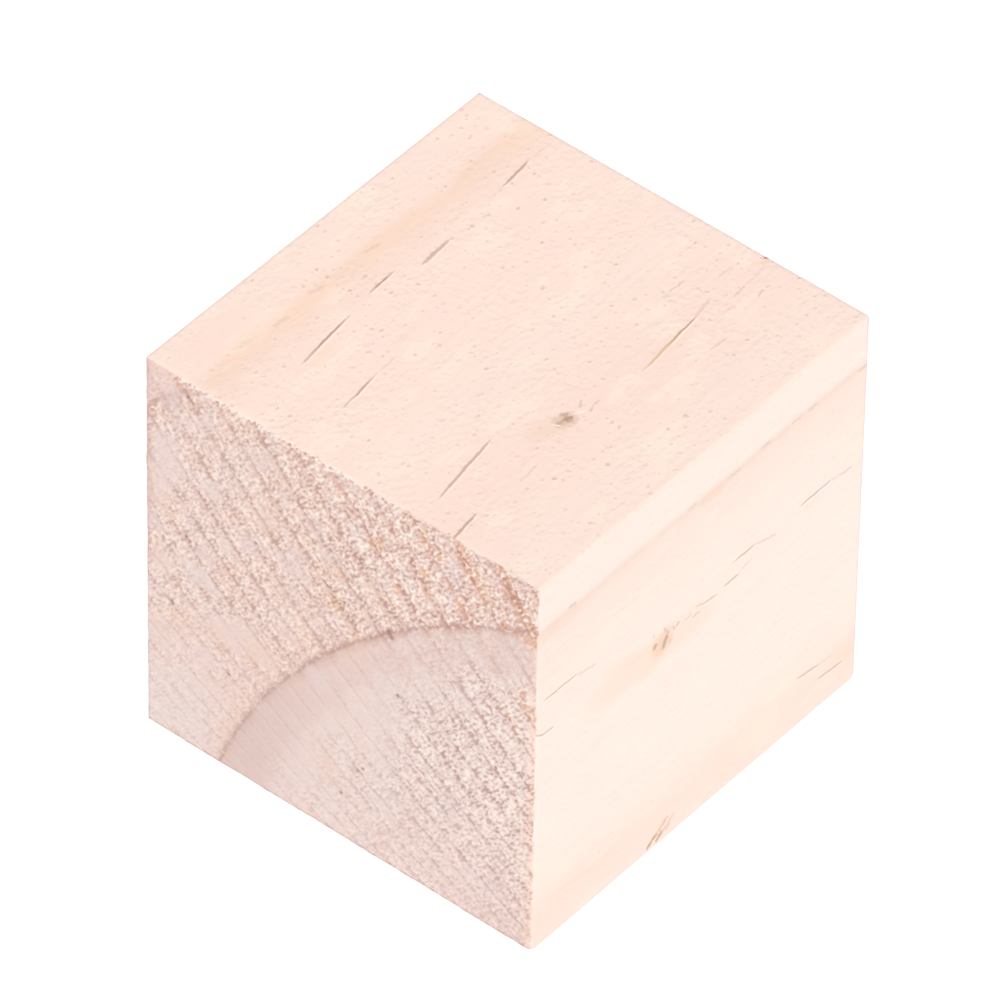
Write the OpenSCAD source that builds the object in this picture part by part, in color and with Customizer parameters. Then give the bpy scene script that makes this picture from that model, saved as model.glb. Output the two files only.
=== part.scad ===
// Plain wooden cube, sawn and planed from one piece of softwood.
// Millimetres. +Z is up, and the grain runs along Y.
// The origin is the centre of the face that the block rests on.

/* [Block] */
// Width across the grain, between the left and right planed faces
block_width = 30; // [8:0.5:80]
// Length along the grain, between the two sawn ends
grain_length = 30.5; // [8:0.5:80]
// Height across the grain, between the resting face and the top
block_height = 30; // [8:0.5:80]

/* [Edges] */
// Radius of the four planed edges, which run along the grain
planed_edge_radius = 0.35; // [0.1:0.05:3]
// Radius of the eight edges round the two sawn ends
sawn_edge_radius = 0.2; // [0.1:0.05:3]

/* [Wear] */
// How far along each edge the bruise at the low, right, back corner reaches
corner_bruise = 0.5; // [0.2:0.1:4]

/* [Hidden] */

// Pine as it comes from the planer, with no stain or varnish
pine = [0.98, 0.89, 0.84];

// Smoothness of the edge rounds
$fn = 48;

// A rectangle with round corners, centred on its own middle
module rounded_rectangle(width, depth, radius) {
    inner_width = width - 2 * radius;
    inner_depth = depth - 2 * radius;
    square([inner_width, depth], center = true);
    square([width, inner_depth], center = true);
    for (side = [-1, 1], end = [-1, 1])
        translate([side * inner_width / 2, end * inner_depth / 2])
            circle(r = radius);
}

// The block seen from above, drawn up through its whole height
module plan_solid() {
    linear_extrude(height = block_height)
        rounded_rectangle(block_width, grain_length, sawn_edge_radius);
}

// The end grain outline, drawn along the whole grain
module end_solid() {
    translate([0, grain_length / 2, block_height / 2])
        rotate([90, 0, 0])
            linear_extrude(height = grain_length)
                rounded_rectangle(block_width, block_height, planed_edge_radius);
}

// The side outline, drawn across the whole width
module side_solid() {
    translate([-block_width / 2, 0, block_height / 2])
        rotate([90, 0, 90])
            linear_extrude(height = block_width)
                rounded_rectangle(grain_length, block_height, sawn_edge_radius);
}

// The wood that is missing at the bruised corner: a block whose face is
// square to the corner's diagonal and takes the same length off its 3 edges
module bruise_cut() {
    diagonal_tilt = acos(-1 / sqrt(3));
    bruise_depth = corner_bruise / sqrt(3);
    cut_size = 4 * corner_bruise;
    translate([block_width / 2, grain_length / 2, 0])
        rotate([0, diagonal_tilt, 45])
            translate([-cut_size / 2, -cut_size / 2, -bruise_depth])
                cube(cut_size);
}

// The whole cube, one solid piece of wood
module wooden_cube() {
    color(pine)
        difference() {
            intersection() {
                plan_solid();
                end_solid();
                side_solid();
            }
            bruise_cut();
        }
}

wooden_cube();
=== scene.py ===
"""A plain pine cube: planed long grain, sawn end grain and eased edges, in soft studio light."""

import logging
import math
from collections.abc import Callable
from dataclasses import dataclass, replace
from enum import Enum
from functools import reduce
from typing import TypeVar

import bmesh
import bpy
import numpy as np
from mathutils import Matrix, Vector


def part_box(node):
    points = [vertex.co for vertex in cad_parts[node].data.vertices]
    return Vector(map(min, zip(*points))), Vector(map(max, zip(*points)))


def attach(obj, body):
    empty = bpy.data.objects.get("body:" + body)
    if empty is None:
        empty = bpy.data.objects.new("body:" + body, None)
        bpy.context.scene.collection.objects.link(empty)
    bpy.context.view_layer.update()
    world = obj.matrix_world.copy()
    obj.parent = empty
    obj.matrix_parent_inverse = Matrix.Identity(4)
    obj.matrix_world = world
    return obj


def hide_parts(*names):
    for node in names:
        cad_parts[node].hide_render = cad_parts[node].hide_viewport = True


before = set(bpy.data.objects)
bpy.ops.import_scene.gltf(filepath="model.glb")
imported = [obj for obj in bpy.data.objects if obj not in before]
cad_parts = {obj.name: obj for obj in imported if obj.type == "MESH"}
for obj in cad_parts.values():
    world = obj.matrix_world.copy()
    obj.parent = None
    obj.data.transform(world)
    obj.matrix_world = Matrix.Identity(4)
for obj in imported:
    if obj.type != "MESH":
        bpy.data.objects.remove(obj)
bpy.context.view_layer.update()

MM = 0.001
LOG = logging.getLogger("pine_cube")

Colour = tuple[float, float, float, float]
Pair = tuple[float, float]
Triple = tuple[float, float, float]
Amount = TypeVar("Amount", "Value", np.ndarray)


class Face(Enum):
    """The six faces of the block: the axis that each one is square to, and which way it looks."""

    FRONT = (1, -1)
    BACK = (1, 1)
    TOP = (2, 1)
    BOTTOM = (2, -1)
    RIGHT = (0, 1)
    LEFT = (0, -1)

    def __init__(self, axis: int, sign: int) -> None:
        """Takes the two parts of the face's value."""
        self.axis = axis
        self.sign = sign


# ---------------------------------------------------------------- measures


@dataclass(frozen=True)
class BlockSize:
    """The block's box in millimetres, with the origin under its middle."""

    width: float
    length: float
    height: float

    @classmethod
    def of_node(cls, node: str) -> "BlockSize":
        """Reads the size of a CAD node's box."""
        low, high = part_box(node)
        return cls(*map(float, (high - low) / MM))

    @property
    def middle(self) -> np.ndarray:
        """The place of the middle."""
        return np.array([0.0, 0.0, self.height / 2])

    @property
    def halves(self) -> np.ndarray:
        """Half the size along each axis."""
        return np.array([self.width, self.length, self.height]) / 2


@dataclass(frozen=True)
class GrowthRings:
    """The tree's year rings: cylinders along Y, round a pith that lies outside the block."""

    pith_x: float = 32.7
    pith_z: float = -14.4
    main_radius: float = 44.4

    def radius(self, x: Amount, z: Amount) -> Amount:
        """Distance from the pith, in millimetres."""
        from_x = x - self.pith_x
        from_z = z - self.pith_z
        return (from_x * from_x + from_z * from_z) ** 0.5


@dataclass(frozen=True)
class SawCut:
    """The path of the round blade that cut the ends: equal arcs, one step of feed apart."""

    blade_radius: float = 125.0
    axle_height: float = 118.4
    feed_lean_deg: float = -7.6
    feed_per_turn: float = 3.35
    teeth_per_turn: int = 3
    deep_mark: float = 73.05

    @property
    def feed_per_tooth(self) -> float:
        """The way from one mark to the next."""
        return self.feed_per_turn / self.teeth_per_turn

    def drop(self, x: Amount, z: Amount) -> Amount:
        """How far points lie below the axle, square to the feed."""
        lean = math.radians(self.feed_lean_deg)
        return self.axle_height + x * math.sin(lean) - z * math.cos(lean)

    def across(self, x: Amount, z: Amount) -> Amount:
        """How far along the feed the blade was when it cut each point."""
        lean = math.radians(self.feed_lean_deg)
        drop = self.drop(x, z)
        ahead = x * math.cos(lean) + z * math.sin(lean)
        return ahead + (self.blade_radius**2 - drop * drop) ** 0.5


# ---------------------------------------------------------------- noise for the meshes


@dataclass(frozen=True)
class SoftNoise:
    """Smooth random values on a lattice, the same on every run."""

    cell: Triple
    seed: int

    TABLE_SIZE = 8192
    PRIMES = (73856093, 19349663, 83492791)

    def __call__(self, points: np.ndarray) -> np.ndarray:
        """Samples the noise.

        Args:
            points: places in millimetres, one row each.

        Returns:
            A value from -1 to 1 for each point.
        """
        table = np.random.default_rng(self.seed).uniform(-1, 1, self.TABLE_SIZE)
        place = points / np.array(self.cell)
        corner = np.floor(place).astype(np.int64)
        part = place - corner
        part = part * part * (3 - 2 * part)
        total = np.zeros(len(points))
        for step in np.ndindex(2, 2, 2):
            key = np.zeros(len(points), np.int64)
            weight = np.ones(len(points))
            for axis in range(3):
                key ^= (corner[:, axis] + step[axis]) * self.PRIMES[axis]
                weight *= part[:, axis] if step[axis] else 1 - part[:, axis]
            total += weight * table[key % self.TABLE_SIZE]
        return total


def ease(values: np.ndarray, low: float, high: float) -> np.ndarray:
    """A smooth step from 0 at low to 1 at high."""
    share = np.clip((values - low) / (high - low), 0, 1)
    return share * share * (3 - 2 * share)


# ---------------------------------------------------------------- node writing


class Value:
    """A node's output, used in formulas like a number, a place in millimetres or a colour."""

    def __init__(self, sheet: "Sheet", socket: bpy.types.NodeSocket) -> None:
        """Takes the output and the sheet that it is on."""
        self.sheet = sheet
        self.socket = socket

    def __add__(self, other: "Value | float") -> "Value":
        """The sum."""
        return self.sheet.math("ADD", self, other)

    def __sub__(self, other: "Value | float") -> "Value":
        """The difference."""
        return self.sheet.math("SUBTRACT", self, other)

    def __rsub__(self, other: float) -> "Value":
        """A number less this value."""
        return self.sheet.math("SUBTRACT", other, self)

    def __mul__(self, other: "Value | float") -> "Value":
        """The product."""
        return self.sheet.math("MULTIPLY", self, other)

    def __pow__(self, power: float) -> "Value":
        """The power."""
        return self.sheet.math("POWER", self, power)

    def __abs__(self) -> "Value":
        """The value without its sign."""
        return self.sheet.math("ABSOLUTE", self)

    __radd__ = __add__
    __rmul__ = __mul__

    def larger(self, other: "Value | float") -> "Value":
        """The larger of two values."""
        return self.sheet.math("MAXIMUM", self, other)

    def mapped(
        self,
        low: "Value | float",
        high: float,
        to_low: float = 0.0,
        to_high: float = 1.0,
        smooth: bool = True,
    ) -> "Value":
        """Maps a range of values to another, clamped at both ends."""
        fed = dict(enumerate((self, low, high, to_low, to_high)))
        curve = "SMOOTHSTEP" if smooth else "LINEAR"
        return self.sheet.add("MapRange", fed, clamp=True, interpolation_type=curve)

    def tinted(self, share: "Value | float", tint: "Value | Shade") -> "Value":
        """This colour with a share of another in it."""
        return self.sheet.blend(share, self, tint)

    def ramp(self, stops: tuple[tuple[float, "Shade"], ...]) -> "Value":
        """The colour at this value, between stops that each have a number, lowest first."""
        low, high = stops[0][0], stops[-1][0]
        node = self.sheet.node("ValToRGB", {0: self.mapped(low, high, smooth=False)})
        elements = node.color_ramp.elements
        while len(elements) < len(stops):
            elements.new(0.5)
        for element, (position, shade) in zip(elements, stops):
            element.position = (position - low) / (high - low)
            element.color = shade.value
        return Value(self.sheet, node.outputs[0])

    def parts(self) -> list["Value"]:
        """The three parts of this place."""
        return [Value(self.sheet, part) for part in self.sheet.node("SeparateXYZ", {0: self}).outputs]

    def noise(
        self, cell: Triple, detail: float = 2.0, roughness: float = 0.5, shift: float = 0.0
    ) -> "Value":
        """Perlin noise, read at this place.

        Args:
            cell: the size of its features along each axis, in millimetres.
            detail: how many finer layers it has.
            roughness: how strong the finer layers are.
            shift: moves it, so that two noises differ.

        Returns:
            The noise, from 0 to 1.
        """
        shifts = (shift, 1.7 * shift, 2.3 * shift)
        moved = self.sheet.vectors("MULTIPLY_ADD", self, tuple(1 / size for size in cell), shifts)
        fed = {"Vector": moved, "Scale": 1.0, "Detail": detail, "Roughness": roughness}
        return self.sheet.add("TexNoise", fed)

    def dots(self, cell: Pair, reach: float, share: float) -> "Value":
        """Scattered soft dots, each of its own strength, read at this place on a plane.

        Args:
            cell: the size of a dot's cell along and across the plane, in millimetres.
            reach: a dot's radius as a share of its cell.
            share: how many cells have a dot, from 0 to 1.

        Returns:
            The share of each point that is dot, from 0 to 1.
        """
        sheet = self.sheet
        moved = sheet.vectors("DIVIDE", self, (*cell, 1.0))
        cells = sheet.node("TexVoronoi", {"Vector": moved, "Scale": 1.0}, voronoi_dimensions="2D")
        near = Value(sheet, cells.outputs["Distance"]).mapped(reach, 0.3 * reach)
        random = sheet.add("SeparateColor", {0: Value(sheet, cells.outputs["Color"])})
        return near * random.mapped(1 - share, 1.0)

    def warped(self, place: "Value", cell: float, amount: float) -> "Value":
        """This place on a plane, moved about by noise.

        Args:
            place: where the noise is read.
            cell: the size of the noise's features, in millimetres.
            amount: how far it moves the place, in millimetres.

        Returns:
            The moved place.
        """
        fed = {"Vector": place, "Scale": 1 / cell, "Detail": 2.0}
        push = self.sheet.add("TexNoise", fed, "Color")
        moved = self.sheet.vectors("MULTIPLY_ADD", push, (amount, amount, 0.0), self)
        return self.sheet.vectors("SUBTRACT", moved, (amount / 2, amount / 2, 0.0))


class Sheet:
    """A node tree that is written like a formula."""

    def __init__(self, tree: bpy.types.NodeTree) -> None:
        """Starts on an emptied tree."""
        self.tree = tree
        tree.nodes.clear()

    def node(self, kind: str, fed: dict[int | str, object], **settings: object) -> bpy.types.Node:
        """Adds a node.

        Args:
            kind: its type, without ShaderNode.
            fed: what its inputs take: outputs that they are linked to, or plain values.
            settings: its properties.

        Returns:
            The node.
        """
        node = self.tree.nodes.new(f"ShaderNode{kind}")
        for name, setting in settings.items():
            setattr(node, name, setting)
        for name, value in fed.items():
            if isinstance(value, Value):
                self.tree.links.new(value.socket, node.inputs[name])
            else:
                node.inputs[name].default_value = value.value if isinstance(value, Shade) else value
        return node

    def add(
        self, kind: str, fed: dict[int | str, object], output: int | str = 0, **settings: object
    ) -> Value:
        """Adds a node for the sake of one of its outputs."""
        return Value(self, self.node(kind, fed, **settings).outputs[output])

    def math(self, operation: str, *values: Value | float) -> Value:
        """One Math node, with its values in the order of its inputs."""
        return self.add("Math", dict(enumerate(values)), operation=operation)

    def vectors(self, operation: str, *values: Value | Triple) -> Value:
        """One Vector Math node, with its values in the order of its inputs."""
        return self.add("VectorMath", dict(enumerate(values)), operation=operation)

    def vector(self, x: Value | float, y: Value | float, z: Value | float = 0.0) -> Value:
        """A place made of its parts."""
        return self.add("CombineXYZ", {0: x, 1: y, 2: z})

    def blend(self, share: Value | float, first: "Value | Shade", second: "Value | Shade") -> Value:
        """Blends two colours."""
        return self.add("Mix", {0: share, 6: first, 7: second}, 2, data_type="RGBA")


def linear(red: int, green: int, blue: int) -> Colour:
    """A screen colour from 0 to 255 as the linear colour that shaders take."""

    def one(value: int) -> float:
        share = value / 255
        return share / 12.92 if share <= 0.04045 else ((share + 0.055) / 1.055) ** 2.4

    return one(red), one(green), one(blue), 1.0


# ---------------------------------------------------------------- the wood


class Shade(Enum):
    """The tints of bare pine: on planed faces, on sawn ends (END), in the marks on both, and for
    painted highlight and shade.
    """

    CREAM = linear(247, 226, 216)
    PALE = linear(247, 224, 213)
    IVORY = linear(247, 231, 214)
    PINK = linear(246, 220, 209)
    WARM = linear(245, 217, 204)
    AMBER = linear(242, 211, 192)
    END_CREAM = linear(233, 213, 206)
    END_PALE = linear(234, 211, 203)
    END_PINK = linear(228, 203, 195)
    END_TAN = linear(234, 205, 193)
    END_RUST = linear(222, 191, 181)
    END_BROWN = linear(205, 169, 157)
    END_LIGHT = linear(238, 211, 204)
    END_DUSK = linear(216, 192, 186)
    END_ASH = linear(231, 214, 208)
    END_LINE = linear(189, 151, 139)
    END_CLEAR = linear(239, 217, 208)
    END_LILAC = linear(230, 210, 206)
    END_PEACH = linear(236, 204, 186)
    END_GOLD = linear(246, 214, 198)
    DULL = linear(226, 204, 190)
    # A painted highlight: the lit rims of pits, dents and canals, and glints at the knot
    PAINTED_HIGHLIGHT = linear(255, 238, 226)
    # Dark flecks; also the painted shade of dents and pits
    FLECK_AND_PAINTED_SHADE = linear(206, 178, 160)
    SEAM = linear(235, 212, 200)
    ASH = linear(214, 192, 180)
    CANAL = linear(180, 138, 120)
    OLIVE = linear(176, 152, 118)
    SLATE = linear(172, 150, 140)
    HONEY = linear(212, 180, 142)
    GLOW = linear(246, 215, 195)
    STAIN = linear(238, 206, 182)
    BARK = linear(218, 184, 158)
    KNOT = linear(160, 120, 100)
    SCORCH = linear(223, 176, 152)
    TAN = linear(234, 192, 162)
    TOASTED = linear(197, 154, 143)
    GAP = linear(181, 147, 140)
    STRAND = linear(168, 118, 108)
    PIT = linear(150, 108, 98)
    # Pale torn fibre; also a painted highlight on the top arris and the curl crests
    PALE_FIBRE_AND_HIGHLIGHT = linear(255, 241, 231)


LONG_GRAIN_RINGS = (
    (22.5, Shade.PINK), (24.5, Shade.WARM), (26.4, Shade.PALE), (28.5, Shade.CREAM),
    (35.0, Shade.CREAM), (40.5, Shade.PALE), (43.2, Shade.PINK), (44.0, Shade.WARM),
    (44.2, Shade.SEAM), (44.4, Shade.SEAM), (44.8, Shade.CREAM), (48.5, Shade.CREAM),
    (51.1, Shade.PINK), (52.8, Shade.PALE), (54.2, Shade.CREAM), (55.6, Shade.PALE),
    (60.2, Shade.PALE), (61.4, Shade.WARM), (62.3, Shade.AMBER), (62.75, Shade.PALE),
    (65.5, Shade.CREAM),
)

END_GRAIN_RINGS = (
    (22.5, Shade.END_PINK), (26.5, Shade.END_PALE), (36.0, Shade.END_CREAM),
    (40.8, Shade.END_CREAM), (42.2, Shade.END_PINK), (43.6, Shade.END_PINK),
    (44.1, Shade.END_RUST), (44.3, Shade.END_BROWN), (44.5, Shade.END_BROWN),
    (44.65, Shade.END_RUST), (44.85, Shade.END_TAN), (61.2, Shade.END_TAN),
    (62.2, Shade.END_RUST), (62.45, Shade.END_BROWN), (62.6, Shade.END_RUST),
    (62.85, Shade.END_TAN), (63.6, Shade.END_LIGHT), (65.5, Shade.END_LIGHT),
)


@dataclass(frozen=True)
class Stroke:
    """A spindle-shaped mark on a long face: an opened resin canal, a fibre, a soft stain or a painted
    highlight.

    Each end is given along the grain, Y, then across it: X on the top and bottom, Z on the sides.
    """

    start: Pair
    end: Pair
    width: float
    strength: float
    shade: Shade = Shade.CANAL

    def drawn(
        self, colour: Value, flat: Value, rim: Value, full: float = 0.0, aside: float = 0.0
    ) -> Value:
        """Draws the stroke.

        Args:
            colour: the colour under it.
            flat: the place along and across the grain.
            rim: how far out its edge lies, near 1.
            full: how far out it has its full strength, from 0 to 1.
            aside: how far it is moved across the grain, in millimetres.

        Returns:
            The colour with the stroke on it.
        """
        (start_y, start_side), (end_y, end_side) = self.start, self.end
        half_length = math.hypot(end_y - start_y, end_side - start_side) / 2
        fed = {
            "Vector": flat,
            "Location": ((start_y + end_y) / 2, (start_side + end_side) / 2 + aside, 0.0),
            "Rotation": (0.0, 0.0, math.atan2(end_side - start_side, end_y - start_y)),
            # Half the width, with room for a soft edge
            "Scale": (half_length, 0.7 * self.width, 1.0),
        }
        ahead, beside, _ = flat.sheet.add("Mapping", fed, vector_type="TEXTURE").parts()
        # From 0 in the middle to 1 on an outline that tapers to both ends
        off = flat.sheet.math("MULTIPLY_ADD", beside, beside, ahead**4.0)
        return colour.tinted(off.mapped(rim, full, 0.0, self.strength), self.shade)


@dataclass(frozen=True)
class TornStreak:
    """A resin-brown streak that a saw tooth dragged down the front end, from one x, z to another."""

    start: Pair
    end: Pair
    width: float
    strength: float

    def near(self, x: Value, z: Value) -> Value:
        """How near each point is to the streak's middle, from 0 to its strength."""
        reach_x, reach_z = self.end[0] - self.start[0], self.end[1] - self.start[1]
        length = math.hypot(reach_x, reach_z)
        from_x, from_z = x - self.start[0], z - self.start[1]
        ahead = from_x * (reach_x / length) + from_z * (reach_z / length)
        aside = from_z * (reach_x / length) - from_x * (reach_z / length)
        past_end = (abs(ahead - length / 2) - length / 2).larger(0.0)
        return (abs(aside) + past_end).mapped(0.0, self.width, self.strength, 0.0, smooth=False)


@dataclass(frozen=True)
class ResinDot:
    """A resin canal cut square across: a dark dot on a sawn end, at x, z."""

    x: float
    z: float
    radius: float = 0.14

    def near(self, flat: Value) -> Value:
        """How near each point of the end is to the dot's middle, from 0 to 0.7."""
        fed = {0: flat, 1: (self.x, self.z, 0.0)}
        off = flat.sheet.add("VectorMath", fed, "Value", operation="DISTANCE")
        return off.mapped(0.2 * self.radius, 1.5 * self.radius, 0.7, 0.0)


@dataclass(frozen=True)
class PitSize:
    """One size of the tiny pits that the planer left.

    reach and share are as in Value.dots, and strength is how dark the pits' painted shade is, from 0
    to 1.
    """

    cell: Pair
    reach: float
    share: float
    strength: float


STAINS: dict[Face, tuple[Stroke, ...]] = {
    Face.TOP: (
        Stroke((-7.2, -7.4), (-9.8, -7.0), 1.2, 0.45, Shade.GLOW),
        Stroke((-9.8, -7.6), (-10.6, -7.2), 0.8, 0.3, Shade.GLOW),
        Stroke((-2.0, -10.5), (-13.4, -11.2), 1.7, 0.5, Shade.GLOW),
        Stroke((-7.0, -12.6), (-14.6, -13.2), 2.4, 0.5, Shade.WARM),
        Stroke((8.5, -10.6), (-2.5, -10.8), 1.5, 0.45, Shade.GLOW),
        Stroke((14.9, -10.2), (11.2, -10.6), 1.4, 0.5, Shade.GLOW),
        Stroke((3.4, 7.9), (7.8, 7.5), 0.8, 0.4, Shade.GLOW),
        Stroke((-6.4, 6.3), (-2.6, 7.5), 1.5, 0.4, Shade.STAIN),
        Stroke((-4.3, 6.8), (-2.5, 7.4), 1.0, 0.5, Shade.ASH),
        Stroke((14.4, 7.3), (15.0, 7.5), 0.35, 0.8, Shade.STAIN),
        Stroke((14.4, 5.3), (15.0, 5.5), 0.35, 0.8, Shade.GLOW),
    ),
    Face.RIGHT: (
        Stroke((-4.9, 16.5), (-2.5, 17.4), 1.9, 0.6, Shade.STAIN),
        Stroke((-4.3, 17.3), (-2.4, 18.2), 0.9, 0.4, Shade.AMBER),
        Stroke((-4.0, 17.0), (-9.4, 18.7), 1.0, 0.25, Shade.AMBER),
        Stroke((2.5, 16.6), (-11.5, 16.9), 2.6, 0.45, Shade.AMBER),
        Stroke((-3.6, 15.7), (-6.0, 15.9), 1.4, 0.3, Shade.GLOW),
        Stroke((-4.7, 16.8), (-2.6, 17.3), 1.6, 0.3, Shade.BARK),
        Stroke((-3.7, 16.3), (-3.2, 17.4), 0.6, 0.35, Shade.HONEY),
        Stroke((9.2, 18.3), (11.2, 18.2), 0.6, 0.3, Shade.GLOW),
        Stroke((-0.6, 25.9), (2.2, 25.9), 0.7, 0.5, Shade.STAIN),
        Stroke((-15.4, 25.9), (-11.0, 25.7), 1.0, 0.35, Shade.STAIN),
        Stroke((12.6, 3.2), (15.6, 2.9), 2.2, 0.35, Shade.AMBER),
        Stroke((-4.8, 0.9), (-3.2, 1.7), 0.6, 0.5, Shade.GLOW),
        Stroke((-13.8, 3.4), (-7.2, 2.8), 0.4, 0.3, Shade.STAIN),
    ),
}

CANALS: dict[Face, tuple[Stroke, ...]] = {
    Face.TOP: (
        Stroke((12.6, -8.82), (9.5, -8.5), 0.21, 0.68),
        Stroke((4.2, -7.95), (1.1, -7.76), 0.26, 0.6),
        Stroke((0.1, -8.7), (-2.8, -8.5), 0.2, 0.5),
        Stroke((-4.5, -8.2), (-10.3, -7.55), 0.19, 0.6),
        Stroke((-7.4, -3.76), (-11.2, -3.36), 0.17, 0.42),
        Stroke((8.7, 7.28), (2.5, 7.93), 0.22, 0.75, Shade.HONEY),
        Stroke((-6.9, 4.78), (-13.6, 5.8), 0.2, 0.62),
        Stroke((-12.5, 8.15), (-15.8, 8.65), 0.19, 0.7),
        Stroke((-5.2, -8.14), (-8.5, -7.76), 0.13, 0.7),
        Stroke((-0.6, -8.65), (-2.1, -8.56), 0.14, 0.7),
        Stroke((8.8, 7.28), (5.4, 7.62), 0.12, 0.7),
        Stroke((-8.1, -3.7), (-10.1, -3.4), 0.14, 0.6),
    ),
    Face.RIGHT: (
        Stroke((-14.9, 20.5), (-11.1, 20.4), 0.18, 0.56, Shade.SLATE),
        Stroke((-15.5, 18.3), (-14.6, 17.7), 0.17, 0.52, Shade.SLATE),
        Stroke((-14.9, 17.75), (-13.5, 17.66), 0.17, 0.52, Shade.SLATE),
        Stroke((8.9, 18.76), (12.5, 18.83), 0.2, 0.52, Shade.SLATE),
        Stroke((2.7, 18.77), (5.3, 18.8), 0.2, 0.56, Shade.SLATE),
        Stroke((2.0, 17.46), (3.6, 17.42), 0.22, 0.56, Shade.SLATE),
        Stroke((-0.2, 17.47), (1.7, 17.24), 0.18, 0.48, Shade.SLATE),
        Stroke((9.4, 4.15), (11.8, 3.74), 0.22, 0.52, Shade.SLATE),
        Stroke((11.3, 2.57), (14.1, 2.34), 0.2, 0.56, Shade.SLATE),
        Stroke((9.1, 18.76), (11.4, 18.8), 0.2, 0.3, Shade.SLATE),
    ),
    Face.LEFT: (
        Stroke((-11.0, 11.2), (-7.6, 11.5), 0.15, 0.8),
        Stroke((-1.2, 13.4), (2.4, 13.1), 0.14, 0.7),
        Stroke((6.3, 10.6), (9.6, 10.9), 0.15, 0.75),
        Stroke((-5.5, 21.8), (-3.2, 21.9), 0.13, 0.6),
        Stroke((10.8, 20.1), (13.6, 19.8), 0.14, 0.65),
    ),
    Face.BOTTOM: (
        Stroke((-13.0, -2.1), (-9.8, -2.4), 0.15, 0.8),
        Stroke((-6.1, -3.6), (-3.4, -3.5), 0.14, 0.7),
        Stroke((1.5, -1.9), (5.2, -2.2), 0.15, 0.8, Shade.HONEY),
        Stroke((8.4, 5.4), (10.5, 5.3), 0.13, 0.6),
        Stroke((-0.8, 8.8), (1.3, 8.9), 0.14, 0.65),
    ),
}

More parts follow.
